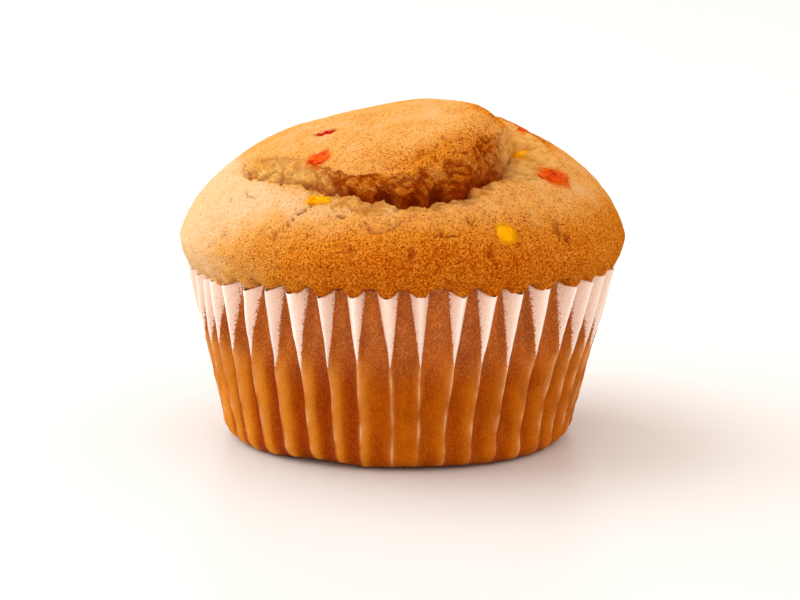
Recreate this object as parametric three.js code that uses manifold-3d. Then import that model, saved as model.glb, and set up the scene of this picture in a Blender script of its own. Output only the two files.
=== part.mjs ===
// A muffin in its pleated paper baking case, with bits of candied fruit baked into the top.
// Millimetres, +Z up. The origin is the centre of the case's flat base, and -Y is the muffin's front.
//
// Both large bodies are stacks of rings: a ring holds one point for each direction around the axis, and
// three directions make a pleat: one on the ridge and one at each foot of it.

import * as THREE from 'three';
import { mergeVertices } from 'three/addons/utils/BufferGeometryUtils.js';
import Module from 'manifold-3d';

const wasm = await Module();
wasm.setup();

const { degToRad, lerp, smoothstep } = THREE.MathUtils;

// Paper case
const PLEATS = 40;
const POINTS_PER_PLEAT = 3;
const FIRST_RIDGE = -85.5; // degrees from +X, so that the front faces a panel between two ridges
const PAPER = 0.3; // wall of the case
const BASE_RADIUS = 25.0; // flat round base
const HEEL = { radius: 27.1, height: 1.0 }; // half way round the curve from base to wall
const WALL_FOOT = { ridge: 28.3, valley: 27.3, height: 3.2 };
const RIM_RIDGE = { radius: 34.5, height: 28.5 };
const RIM_VALLEY = { radius: 31.0, height: 29.4 };
const WALL_ROWS = 5;
const WALL_FLARE = 1.2; // power of the wall's profile, above 1 because it opens out towards the rim

// Cake
const GAP = 0.3; // between two pieces that touch
const DOME_RADIUS = 35.4; // at the widest place of the risen top
const DOME_FOOT = 33.3; // height of that place
const DOME_TOP = 53.3;
const DOME_CURVE = 0.73; // power of the dome's profile: 0.5 would be an ellipse
const BRIM = [
    { radius: 34.9, height: 31.2 },
    { radius: 34.0, height: 29.9 },
    { radius: 31.3, height: 29.9 },
]; // underside of the top, where it hangs over the rim of the paper
const RIDGE_FILL = { foot: 0.9, rim: 0.4 }; // how far the cake reaches into the ridges of the paper
const CROWN_LIFT = { from: 0.25, to: 1.0 }; // parts of the crown's radius between which it lifts
const FLOOR_CURVE = 1.4; // power of the crack floor's profile, from the crown's foot up to the lip
const CROWN_RINGS = [1, 0.88, 0.72, 0.5, 0.25]; // parts of the crown's radius
const SHELL_RINGS = [0.94, 0.8, 0.58, 0.3]; // parts of the way from the lip to the widest place

// Set of the whole muffin: it leans a little to the right, its top rises that way, and both sides of the rim
// sit lower
const LEAN = 0.022;
const TOP_SLOPE = 0.012;
const SIDE_DROP = 1.1;
const SIDE_DROP_TOP = 38.0; // height where the drop has faded out

// The crown stands higher right of its middle, and its left side lies lower. The left side's drop fades in
// and out between distances left of the axis.
const CROWN_RISE = { by: 0.7, at: 9.0, spread: 30.0 };
const CROWN_DROP = { by: 0.95, start: [-3.0, 5.0], end: [9.0, 26.0] };
const CROWN_HEIGHT = [42.0, 48.0]; // heights between which both fade in

// The torn crack, at stations around the axis. The crown's edge stands `rise` above the dome, and the foot
// of its torn face lies `depth` below it. The lip is the edge of the outer crust.
const CRACK = [
    { at: -175, crown: 26.0, rise: 0.0, foot: 26.8, depth: 0.0, lip: 27.8 },
    { at: -164, crown: 25.8, rise: 0.5, foot: 26.9, depth: 0.5, lip: 28.0 },
    { at: -146, crown: 24.2, rise: 1.2, foot: 26.6, depth: 1.3, lip: 27.8 },
    { at: -132, crown: 23.6, rise: 1.6, foot: 26.5, depth: 1.6, lip: 27.8 },
    { at: -116, crown: 25.2, rise: 2.6, foot: 26.9, depth: 1.6, lip: 28.6 },
    { at: -98, crown: 26.6, rise: 3.3, foot: 27.5, depth: 2.0, lip: 28.8 },
    { at: -89, crown: 27.0, rise: 3.4, foot: 27.9, depth: 3.0, lip: 29.0 },
    { at: -80, crown: 25.8, rise: 3.5, foot: 27.0, depth: 3.2, lip: 28.8 },
    { at: -72, crown: 24.6, rise: 3.6, foot: 26.2, depth: 2.9, lip: 28.2 },
    { at: -55, crown: 21.6, rise: 3.5, foot: 23.0, depth: 3.7, lip: 27.0 },
    { at: -30, crown: 18.2, rise: 2.2, foot: 19.2, depth: 3.7, lip: 28.6 },
    { at: -12, crown: 16.2, rise: 0.8, foot: 17.2, depth: 3.2, lip: 24.5 },
    { at: 5, crown: 15.4, rise: 0.2, foot: 16.4, depth: 2.4, lip: 19.4 },
    { at: 25, crown: 15.0, rise: 0.0, foot: 16.2, depth: 1.6, lip: 18.8 },
    { at: 50, crown: 15.5, rise: 0.0, foot: 17.0, depth: 0.8, lip: 19.2 },
    { at: 80, crown: 17.0, rise: 0.0, foot: 18.4, depth: 0.0, lip: 20.0 },
    { at: 185, crown: 26.0, rise: 0.0, foot: 26.8, depth: 0.0, lip: 27.8 },
];

// Candied fruit: place in degrees around the axis and millimetres out from it, half sizes along the surface
// and through it, and the turn about the surface's normal.
const RED = 0xb02a12;
const ORANGE = 0xe0701a;
const YELLOW = 0xf5b81e;
const FRUIT = [
    { name: 'red_bit_crown_front', at: -141, out: 15.8, size: [1.4, 0.9, 0.8], turn: 20, tint: RED },
    { name: 'orange_bit_crown_left', at: -124.5, out: 23.5, size: [1.9, 1.6, 1.1], turn: -30, tint: ORANGE },
    { name: 'yellow_bit_lip_left', at: -116.5, out: 29.0, size: [2.0, 0.8, 0.8], turn: -20, tint: YELLOW },
    { name: 'yellow_bit_crust_right', at: -62.6, out: 33.2, size: [1.5, 1.4, 0.9], turn: 0, tint: YELLOW },
    { name: 'orange_bit_rim_right', at: -31, out: 27.0, size: [3.3, 1.7, 1.2], turn: 40, tint: ORANGE },
    { name: 'yellow_bit_crumb_right', at: -23, out: 19.6, size: [1.5, 0.9, 0.8], turn: 40, tint: YELLOW },
    { name: 'orange_bit_rim_back', at: 1.5, out: 18.8, size: [1.5, 0.8, 0.7], turn: 80, tint: ORANGE },
    { name: 'red_bit_back', at: 96, out: 27.5, size: [1.6, 1.1, 0.9], turn: 15, tint: RED },
    { name: 'yellow_bit_left_back', at: 148, out: 31.2, size: [1.4, 1.2, 0.9], turn: 50, tint: YELLOW },
];
const FRUIT_SINK = 0.25; // part of the half thickness by which a bit's middle lies under the surface
const FRUIT_DETAIL = 1;
const POCKET_GAP = 0.4; // over GAP, because the facets lie closer together than the corners
const SLOPE_STEP = 0.4; // for the surface's normal

const DIRECTIONS = PLEATS * POINTS_PER_PLEAT;
const directionAt = (index) => degToRad(FIRST_RIDGE) + (index * 2 * Math.PI) / DIRECTIONS;
const isRidge = (index) => index % POINTS_PER_PLEAT === 0;

// Height of the dome before it cracked.
function domeHeight(radius) {
    const spread = Math.min(radius / DOME_RADIUS, 1);
    return DOME_FOOT + (DOME_TOP - DOME_FOOT) * (1 - spread ** 2) ** DOME_CURVE;
}

// The crack's values in a direction, eased from one station to the next.
function crackAt(angle) {
    const turns = Math.floor((THREE.MathUtils.radToDeg(angle) - CRACK[0].at) / 360);
    const degrees = THREE.MathUtils.radToDeg(angle) - turns * 360;
    const next = CRACK.findIndex((station) => station.at > degrees);
    const [a, b] = [CRACK[next - 1], CRACK[next]];
    const part = smoothstep(degrees, a.at, b.at);
    const value = (key) => lerp(a[key], b[key], part);
    return Object.fromEntries(['crown', 'rise', 'foot', 'depth', 'lip'].map((key) => [key, value(key)]));
}

// Height of the cake's top: the raised crown, its torn face, the floor of the crack and the outer crust.
function topHeight(crack, radius) {
    const lift = (r) => crack.rise * smoothstep(r / crack.crown, CROWN_LIFT.from, CROWN_LIFT.to);
    const crownHeight = (r) => domeHeight(r) + lift(r);
    if (radius <= crack.crown) return crownHeight(radius);
    const footHeight = domeHeight(crack.foot) - crack.depth;
    if (radius <= crack.foot) {
        const down = (radius - crack.crown) / (crack.foot - crack.crown);
        return lerp(crownHeight(crack.crown), footHeight, down);
    }
    if (radius >= crack.lip) return domeHeight(radius);
    const out = (radius - crack.foot) / (crack.lip - crack.foot);
    return domeHeight(radius) - crack.depth * (1 - out) ** FLOOR_CURVE;
}

// How far the crown stands above its even shape.
function crownSet({ x, y, z }) {
    const right = Math.exp(-((x - CROWN_RISE.at) ** 2 + y ** 2) / CROWN_RISE.spread);
    const left = smoothstep(-x, ...CROWN_DROP.start) * (1 - smoothstep(-x, ...CROWN_DROP.end));
    return (CROWN_RISE.by * right - CROWN_DROP.by * left) * smoothstep(z, ...CROWN_HEIGHT);
}

// Moves a point from the upright shape to the muffin's real set.
function settle(point) {
    const below = Math.min(point.z / RIM_RIDGE.height, 1);
    const above = smoothstep(point.z, DOME_FOOT, SIDE_DROP_TOP);
    const radius = Math.hypot(point.x, point.y);
    const sideways = radius > 0 ? point.x / radius : 0;
    const drop = SIDE_DROP * sideways ** 2 * below * (1 - above);
    const slope = TOP_SLOPE * point.x * smoothstep(point.z, DOME_FOOT, DOME_TOP);
    const height = point.z + crownSet(point) - drop + slope;
    return new THREE.Vector3(point.x + LEAN * point.z, point.y, height);
}

// A ring from a function of the direction's index that gives its radius and height.
function ring(shape) {
    return Array.from({ length: DIRECTIONS }, (_, index) => {
        const { radius, height } = shape(index);
        const angle = directionAt(index);
        return new THREE.Vector3(radius * Math.cos(angle), radius * Math.sin(angle), height);
    });
}

// A ring moved inwards, square to its own outline, and upwards.
function insetRing(points, inwards, upwards) {
    return points.map((point, index) => {
        const before = points[(index + points.length - 1) % points.length];
        const after = points[(index + 1) % points.length];
        const sideA = new THREE.Vector2(before.y - point.y, point.x - before.x).normalize();
        const sideB = new THREE.Vector2(point.y - after.y, after.x - point.x).normalize();
        const mitre = inwards / (1 + sideA.dot(sideB));
        return new THREE.Vector3(
            point.x + (sideA.x + sideB.x) * mitre,
            point.y + (sideA.y + sideB.y) * mitre,
            point.z + upwards,
        );
    });
}

// A closed body from rings that run from its lower middle, out and round, to its upper middle.
function ringBody(lowerMiddle, rings, upperMiddle) {
    const points = [lowerMiddle, ...rings.flat(), upperMiddle].map(settle);
    const faces = [];
    const corner = (row, index) => 1 + row * DIRECTIONS + (index % DIRECTIONS);
    for (let index = 0; index < DIRECTIONS; index += 1) {
        faces.push(0, corner(0, index + 1), corner(0, index));
        for (let row = 0; row < rings.length - 1; row += 1) {
            faces.push(corner(row, index), corner(row, index + 1), corner(row + 1, index + 1));
            faces.push(corner(row, index), corner(row + 1, index + 1), corner(row + 1, index));
        }
        faces.push(points.length - 1, corner(rings.length - 1, index), corner(rings.length - 1, index + 1));
    }
    const geometry = new THREE.BufferGeometry().setFromPoints(points);
    geometry.setIndex(faces);
    return geometry;
}

function toSolid(geometry) {
    const bare = geometry.clone();
    bare.deleteAttribute('normal');
    bare.deleteAttribute('uv');
    const merged = mergeVertices(bare);
    const vertProperties = new Float32Array(merged.attributes.position.array);
    const triVerts = new Uint32Array(merged.index.array);
    return new wasm.Manifold(new wasm.Mesh({ numProp: 3, vertProperties, triVerts }));
}

function toGeometry(solid) {
    const { vertProperties, triVerts } = solid.getMesh();
    const geometry = new THREE.BufferGeometry();
    geometry.setAttribute('position', new THREE.BufferAttribute(vertProperties, 3));
    geometry.setIndex(new THREE.BufferAttribute(triVerts, 1));
    geometry.computeVertexNormals();
    return geometry;
}

function named(name, geometry, colour, roughness) {
    const material = new THREE.MeshStandardMaterial({ color: colour, roughness, metalness: 0 });
    const mesh = new THREE.Mesh(geometry, material);
    mesh.name = name;
    return mesh;
}

// Outer skin of the paper: the base's edge, the heel and the wall, whose pleats deepen towards the rim. Each
// row says how far along each way its wall's thickness goes.
function paperRows() {
    const flat = { ring: ring(() => ({ radius: BASE_RADIUS, height: 0 })), inwards: 0.1, upwards: 1 };
    const heel = { ring: ring(() => HEEL), inwards: 0.8, upwards: 0.6 };
    const wall = Array.from({ length: WALL_ROWS }, (_, row) => {
        const up = row / (WALL_ROWS - 1);
        const ridge = {
            radius: lerp(WALL_FOOT.ridge, RIM_RIDGE.radius, up ** WALL_FLARE),
            height: lerp(WALL_FOOT.height, RIM_RIDGE.height, up),
        };
        const valley = {
            radius: lerp(WALL_FOOT.valley, RIM_VALLEY.radius, up ** WALL_FLARE),
            height: lerp(WALL_FOOT.height, RIM_VALLEY.height, up),
        };
        return { ring: ring((index) => (isRidge(index) ? ridge : valley)), inwards: 1, upwards: 0 };
    });
    return [flat, heel, ...wall];
}

function paperCase() {
    const rows = paperRows();
    const outside = rows.map((row) => row.ring);
    const inside = rows.map((row) => insetRing(row.ring, PAPER * row.inwards, PAPER * row.upwards));
    const [under, over] = [new THREE.Vector3(0, 0, 0), new THREE.Vector3(0, 0, PAPER)];
    return ringBody(under, [...outside, ...inside.reverse()], over);
}

// The cake's side took the print of the paper, and fills its ridges less towards the rim.
function cakeSide() {
    const clear = PAPER + GAP;
    return paperRows().map((row, level, rows) => {
        const up = level / (rows.length - 1);
        const fill = lerp(RIDGE_FILL.foot, RIDGE_FILL.rim, up);
        const inner = insetRing(row.ring, clear * row.inwards, clear * row.upwards);
        return inner.map((point, index) => {
            if (!isRidge(index)) return point;
            const valley = inner[(index + 1) % DIRECTIONS];
            const radius = lerp(Math.hypot(valley.x, valley.y), Math.hypot(point.x, point.y), fill);
            const angle = directionAt(index);
            return new THREE.Vector3(radius * Math.cos(angle), radius * Math.sin(angle), point.z);
        });
    });
}

// Rings of the top, from the widest place in to the middle of the crown.
function cakeTop() {
    const cracks = Array.from({ length: DIRECTIONS }, (_, index) => crackAt(directionAt(index)));
    const radii = [
        ...SHELL_RINGS.map((part) => (crack) => lerp(crack.lip, DOME_RADIUS, part)),
        (crack) => crack.lip,
        (crack) => lerp(crack.foot, crack.lip, 0.5),
        (crack) => crack.foot,
        (crack) => lerp(crack.crown, crack.foot, 0.4),
        ...CROWN_RINGS.map((part) => (crack) => crack.crown * part),
    ];
    return radii.map((radiusOf) => ring((index) => {
        const radius = radiusOf(cracks[index]);
        return { radius, height: topHeight(cracks[index], radius) };
    }));
}

function cakeBody() {
    const brim = BRIM.map((step) => ring(() => step)).reverse();
    const widest = ring(() => ({ radius: DOME_RADIUS, height: DOME_FOOT }));
    const rings = [...cakeSide(), ...brim, widest, ...cakeTop()];
    return ringBody(new THREE.Vector3(0, 0, PAPER + GAP), rings, new THREE.Vector3(0, 0, DOME_TOP));
}

// Point of the cake's top in a direction, in the muffin's real set.
function topPoint(angle, radius) {
    const height = topHeight(crackAt(angle), radius);
    return settle(new THREE.Vector3(radius * Math.cos(angle), radius * Math.sin(angle), height));
}

// A lump of fruit around its own middle, `spare` larger all over.
function fruitLump(size, spare) {
    const lump = new THREE.IcosahedronGeometry(1, FRUIT_DETAIL);
    return lump.scale(size[0] + spare, size[1] + spare, size[2] + spare);
}

function fruitBit({ name, at, out, size, turn, tint }) {
    const angle = degToRad(at);
    const place = topPoint(angle, out);
    const step = SLOPE_STEP / out;
    const outwards = topPoint(angle, out + SLOPE_STEP).sub(topPoint(angle, out - SLOPE_STEP));
    const around = topPoint(angle + step, out).sub(topPoint(angle - step, out));
    const normal = outwards.cross(around).normalize();
    const bit = named(name, fruitLump(size, 0), tint, 0.35);
    bit.quaternion.setFromUnitVectors(new THREE.Vector3(0, 0, 1), normal);
    bit.rotateZ(degToRad(turn));
    bit.position.copy(place).addScaledVector(normal, -FRUIT_SINK * size[2]);
    bit.updateMatrix();
    return bit;
}

const fruit = FRUIT.map(fruitBit);
const pockets = fruit.map((bit, index) => {
    const pocket = fruitLump(FRUIT[index].size, POCKET_GAP);
    return toSolid(pocket.applyMatrix4(bit.matrix));
});
const cakeSolid = pockets.reduce((cake, pocket) => cake.subtract(pocket), toSolid(cakeBody()));

const muffin = new THREE.Group();
muffin.add(named('cake', toGeometry(cakeSolid), 0xe1965a, 0.85));
muffin.add(named('paper_case', paperCase(), 0xe9b48c, 0.7));
muffin.add(...fruit);

export default muffin;
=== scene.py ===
"""A muffin in its pleated paper case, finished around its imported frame.

Shapes are worked out in millimetres around the muffin's upright axis and settled into its real set, and
become metres when they are put on a mesh. -Y is the muffin's front.
"""

import math
import random

import bmesh
import bpy
import numpy as np
from bpy.props import FloatProperty, FloatVectorProperty, IntProperty, PointerProperty
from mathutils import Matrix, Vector, noise
from mathutils.bvhtree import BVHTree


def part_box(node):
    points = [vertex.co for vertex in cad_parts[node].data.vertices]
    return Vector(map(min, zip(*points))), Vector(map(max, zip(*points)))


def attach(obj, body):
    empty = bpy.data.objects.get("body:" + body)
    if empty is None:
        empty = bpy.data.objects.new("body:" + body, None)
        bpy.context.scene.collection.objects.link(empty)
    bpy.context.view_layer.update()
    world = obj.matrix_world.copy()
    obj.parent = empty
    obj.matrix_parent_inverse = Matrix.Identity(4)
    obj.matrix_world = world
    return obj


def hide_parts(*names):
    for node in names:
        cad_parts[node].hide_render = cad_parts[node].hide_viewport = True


bl_info = {
    "name": "Muffin in a paper case",
    "version": (1, 0, 0),
    "blender": (4, 5, 0),
    "location": "3D View > Sidebar > Muffin",
    "description": "Builds a cracked muffin with candied fruit in its pleated paper case",
    "category": "Mesh",
}

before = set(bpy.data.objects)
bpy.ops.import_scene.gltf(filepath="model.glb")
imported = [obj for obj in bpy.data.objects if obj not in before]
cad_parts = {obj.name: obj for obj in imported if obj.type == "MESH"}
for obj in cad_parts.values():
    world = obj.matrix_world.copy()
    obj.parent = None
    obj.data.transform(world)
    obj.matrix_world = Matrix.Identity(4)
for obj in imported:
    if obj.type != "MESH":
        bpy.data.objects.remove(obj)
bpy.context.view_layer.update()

MM = 0.001

# Set of the whole muffin
LEAN = 0.022  # sideways, for each millimetre of height
TOP_SLOPE = 0.012  # the top's rise to the right
SIDE_DROP = 1.1  # the rim's drop at both sides
SIDE_DROP_TOP = 38.0  # height where the drop has faded out

# The torn crack at stations around the axis, in degrees from +X: radius of the crown's edge, its rise above
# the dome, radius of the foot of its torn face, depth of that foot below the dome, and radius of the lip.
CRACK = (
    (-175, 25.5, 0.0, 26.8, 0.0, 28.1),
    (-164, 25.6, 0.5, 26.9, 0.5, 28.2),
    (-155, 24.8, 0.9, 26.8, 0.9, 27.8),
    (-146, 23.9, 1.2, 26.6, 1.3, 27.7),
    (-132, 23.4, 1.6, 26.5, 1.6, 27.7),
    (-116, 25.2, 2.6, 26.9, 1.6, 28.6),
    (-107, 26.2, 3.0, 27.2, 1.5, 28.7),
    (-98, 26.6, 3.3, 27.3, 2.2, 29.4),
    (-89, 27.0, 3.4, 27.8, 3.6, 30.7),
    (-80, 25.8, 3.5, 27.0, 4.0, 30.8),
    (-72, 24.6, 3.6, 26.2, 3.4, 29.8),
    (-55, 21.6, 3.5, 23.0, 3.7, 27.4),
    (-30, 17.8, 2.0, 19.0, 3.7, 28.6),
    (-12, 15.7, 0.6, 16.8, 3.2, 23.2),
    (5, 14.8, 0.1, 16.0, 2.4, 18.0),
    (25, 14.5, 0.0, 15.6, 1.6, 17.4),
    (50, 15.3, 0.0, 17.0, 0.8, 19.4),
    (80, 17.0, 0.0, 19.5, 0.0, 22.0),
    (185, 25.5, 0.0, 26.8, 0.0, 28.1),
)
# Dark pits under the crown's front: direction and reach in degrees, and depth
PITS = ((-107.0, 3.0, 1.2), (-96.5, 4.5, 2.0), (-87.0, 3.8, 2.0), (-78.5, 5.2, 2.5), (-66.0, 4.0, 1.0))
CROWN_LIFT = (0.25, 1.0)  # parts of the crown's radius between which it lifts
FLOOR_CURVE = 1.4  # power of the crack floor's profile, from the torn face's foot up to the lip

# Ridges of the front half of the case, in degrees from the front: at the rim, and where the dry wedge ends.
FRONT_RIDGES = (
    (-71.9, -79.5),
    (-64.4, -71.2),
    (-58.9, -63.2),
    (-52.9, -55.6),
    (-44.8, -46.8),
    (-37.0, -38.0),
    (-29.9, -29.0),
    (-21.4, -20.4),
    (-12.7, -12.0),
    (-4.0, -2.6),
    (4.8, 5.6),
    (16.0, 14.8),
    (24.2, 23.2),
    (31.7, 31.6),
    (41.0, 40.8),
    (52.4, 50.4),
    (61.0, 58.6),
    (69.5, 67.0),
    (77.8, 75.0),
    (85.9, 83.5),
)
PLEATS = 40
CREST = 3.2  # how far the ridges stand out at the rim
FOOT_HEIGHT = 3.2  # height of the wall's foot, above the curved heel
SPOKES_PER_PLEAT = 16
RIDGE_HALF = 5  # spokes from a ridge's apex to its foot
BASE_RINGS = 4
HEEL_RINGS = 8
WALL_RINGS = 60
PANEL_RISE = 0.9  # how much higher the rim stands at the panels than at the ridges
SHADE_SIDE_TURN = 12.0  # degrees from the front over which each pleat's painted shade changes side

CAKE_SPOKES = 576
FRONT_CROWDING = 0.42  # how much closer together the cake's spokes are at the front than on average
CAKE_ZONES = {"crown": 58, "face": 26, "floor": 14, "flank": 40, "brim": 12, "side": 6, "base": 2}
CIRCLE = 27.0  # radius of the circle on which the crack's unevenness is drawn
FACE_TURN = 0.62 * math.pi  # how far the torn face's profile swings round below the crown's bulge

CORNERS = np.array([(x, y, z) for x in (0, 1) for y in (0, 1) for z in (0, 1)])
NEIGHBOURS = np.array([(x, y, z) for x in (-1, 0, 1) for y in (-1, 0, 1) for z in (-1, 0, 1)])


def smooth(value, low, high):
    """0 below low, 1 above high, eased between them."""
    part = np.clip((value - low) / (high - low), 0.0, 1.0)
    return part * part * (3.0 - 2.0 * part)


def mix(a, b, part):
    """a at part 0, and b at part 1."""
    return a + (b - a) * part


def lattice(x, y, z, seed):
    """A repeatable number from 0 to 1 for each whole-numbered place."""
    n = x * 374761393 + y * 668265263 + z * 1274126177 + seed * 974634777
    n = (n ^ (n >> 13)) * 1103515245
    n = (n ^ (n >> 16)) * 668265263
    return ((n ^ (n >> 15)) & 0xFFFFF) / 0xFFFFF


def lumps(places, seed):
    """Smooth noise from about -1 to 1, with one lump to each unit."""
    cell = np.floor(places).astype(np.int64)
    inside = places - cell
    ease = inside * inside * inside * (inside * (inside * 6.0 - 15.0) + 10.0)
    total = np.zeros(places.shape[:-1])
    for corner in CORNERS:
        at = cell + corner
        away = inside - corner
        weight = np.prod(np.where(corner, ease, 1.0 - ease), axis=-1)
        for axis in range(3):
            slope = 2.0 * lattice(at[..., 0], at[..., 1], at[..., 2], seed + 91 * axis) - 1.0
            total += weight * slope * away[..., axis]
    return total * 1.6


def waves(points, size, seed, octaves=1):
    """Smooth noise from about -1 to 1, with lumps of a size in millimetres, and finer ones on them."""
    total, part = np.zeros(points.shape[:-1]), 1.0
    for octave in range(octaves):
        total += part * lumps(points / size * 2.0**octave, seed + 7 * octave)
        part *= 0.5
    return total


def pits(points, size, seed, low, high):
    """Round hollows from 0 to 1, up to one in each cell of a size, with radii from low to high cells."""
    places = points / size
    cell = np.floor(places).astype(np.int64)
    deepest = np.zeros(points.shape[:-1])
    for step in NEIGHBOURS:
        at = cell + step
        x, y, z = at[..., 0], at[..., 1], at[..., 2]
        centre = np.stack([at[..., axis] + lattice(x, y, z, seed + 31 * axis) for axis in range(3)], axis=-1)
        radius = low + (high - low) * lattice(x, y, z, seed + 97)
        away = np.linalg.norm(places - centre, axis=-1)
        hollow = 1.0 - (away / np.maximum(radius, 1e-6)) ** 2
        deepest = np.maximum(deepest, np.where(radius > 0.0, hollow, 0.0))
    return deepest


def settle(points, dome_foot, dome_top, rim_height):
    """Moves points from the upright shape to the muffin's real set."""
    x, y, z = points[..., 0], points[..., 1], points[..., 2]
    radius = np.maximum(np.hypot(x, y), 1e-6)
    fade = np.clip(z / rim_height, 0.0, 1.0) * (1.0 - smooth(z, dome_foot, SIDE_DROP_TOP))
    height = z - SIDE_DROP * (x / radius) ** 2 * fade + TOP_SLOPE * x * smooth(z, dome_foot, dome_top)
    return np.stack((x + LEAN * z, y, height), axis=-1)


# ---------------------------------------------------------------- meshes


def round_sheet(rings, spokes):
    """A grid with one unit between its lines, and the ring and spoke of each of its vertices."""
    bm = bmesh.new()
    bmesh.ops.create_grid(bm, x_segments=spokes, y_segments=rings, size=0.5)
    bm.verts.ensure_lookup_table()
    places = np.array([v.co[:] for v in bm.verts])
    ring = np.rint((places[:, 1] + 0.5) * rings).astype(int)
    spoke = np.rint((places[:, 0] + 0.5) * spokes).astype(int) % spokes
    return bm, ring, spoke


def shape_sheet(name, rings, spokes, points, layers, material):
    """A round sheet whose vertices take the points of a (ring, spoke) grid, with values to go with them."""
    bm, ring, spoke = round_sheet(rings, spokes)
    places = points[ring, spoke] * MM
    for vertex, place in zip(bm.verts, places):
        vertex.co = place
    keys = {label: bm.verts.layers.float.new(label) for label in layers}
    for label, values in layers.items():
        key = keys[label]
        for vertex, value in zip(bm.verts, values[ring, spoke]):
            vertex[key] = value
    bmesh.ops.remove_doubles(bm, verts=bm.verts, dist=0.001 * MM)
    bmesh.ops.recalc_face_normals(bm, faces=bm.faces)
    return finish_piece(name, bm, material)


def finish_piece(name, bm, material):
    """A smooth object made from a bmesh, with its material."""
    mesh = bpy.data.meshes.new(name)
    bm.to_mesh(mesh)
    bm.free()
    mesh.polygons.foreach_set("use_smooth", [True] * len(mesh.polygons))
    mesh.materials.append(material)
    piece = bpy.data.objects.new(name, mesh)
    bpy.context.scene.collection.objects.link(piece)
    return piece


# ---------------------------------------------------------------- paper case


class Pleats:
    """The case's ridges: where each stands, how wide and how deep it is, on the way down from the rim."""

    def __init__(self, case):
        draw = random.Random(case.seed)
        hidden = PLEATS - len(FRONT_RIDGES)
        first, last = FRONT_RIDGES[0], FRONT_RIDGES[-1]
        places = list(FRONT_RIDGES)
        for step in range(1, hidden + 1):
            part = step / (hidden + 1)
            rim = mix(last[0], first[0] + 360.0, part) + draw.uniform(-1.1, 1.1)
            tip = mix(last[1], first[1] + 360.0, part) + draw.uniform(-0.8, 0.8)
            places.append((rim, tip))
        self.rim, self.tip = np.radians(np.array(places) - 90.0).T
        self.width = np.array([draw.uniform(0.9, 1.12) for _ in places])
        self.depth = np.array([draw.uniform(0.88, 1.06) for _ in places])
        self.reach = np.array([draw.uniform(0.43, 0.52) for _ in places])
        self.bluntness = np.array([draw.uniform(1.35, 2.3) for _ in places])
        self.rise = np.array([draw.uniform(-0.25, 0.25) for _ in places])
        self.sway = np.array([draw.uniform(0.0, 100.0) for _ in places])

    def angle(self, index, down):
        """Direction of a ridge's apex, part of the way down from the rim."""
        swing = [noise.noise(Vector((self.sway[index], 5.0 * d, 0.5))) for d in np.atleast_1d(down)]
        to_tip = np.clip(down / self.reach[index], 0.0, 1.6)
        wobble = np.radians(0.5) * np.array(swing) * smooth(np.asarray(down), 0.05, 0.5)
        return mix(self.rim[index], self.tip[index], to_tip ** 0.8) + wobble

    def half_width(self, index, down):
        """Half the angle that a ridge takes up."""
        open_part = np.clip(1.0 - down / self.reach[index], 0.0, 1.0)
        low = 1.2 + 0.25 * np.sin(self.sway[index] + 9.0 * down)
        return np.radians(mix(low, 3.0, open_part ** 0.85) * self.width[index])

    def dry_part(self, index, down):
        """Part of the ridge's half width that stands off the cake and stays dry."""
        open_part = np.clip(1.0 - down / self.reach[index], 0.0, 1.0)
        return np.radians(3.0 * self.width[index]) * open_part / self.half_width(index, down)

    def crest(self, index, down):
        """How far a ridge stands out from the panels beside it."""
        upper = CREST * self.depth[index]
        return np.interp(down, (0.0, 0.3, 0.5, 0.85, 1.0), (upper, 2.55, 2.0, 1.3, 0.9))


def wall_radius(case, up):
    """Radius of the panels between the ridges, from the wall's foot up to the rim."""
    return mix(case.foot_radius / MM, case.panel_radius / MM, np.clip(up, 0.0, 1.0) ** 1.05)


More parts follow.
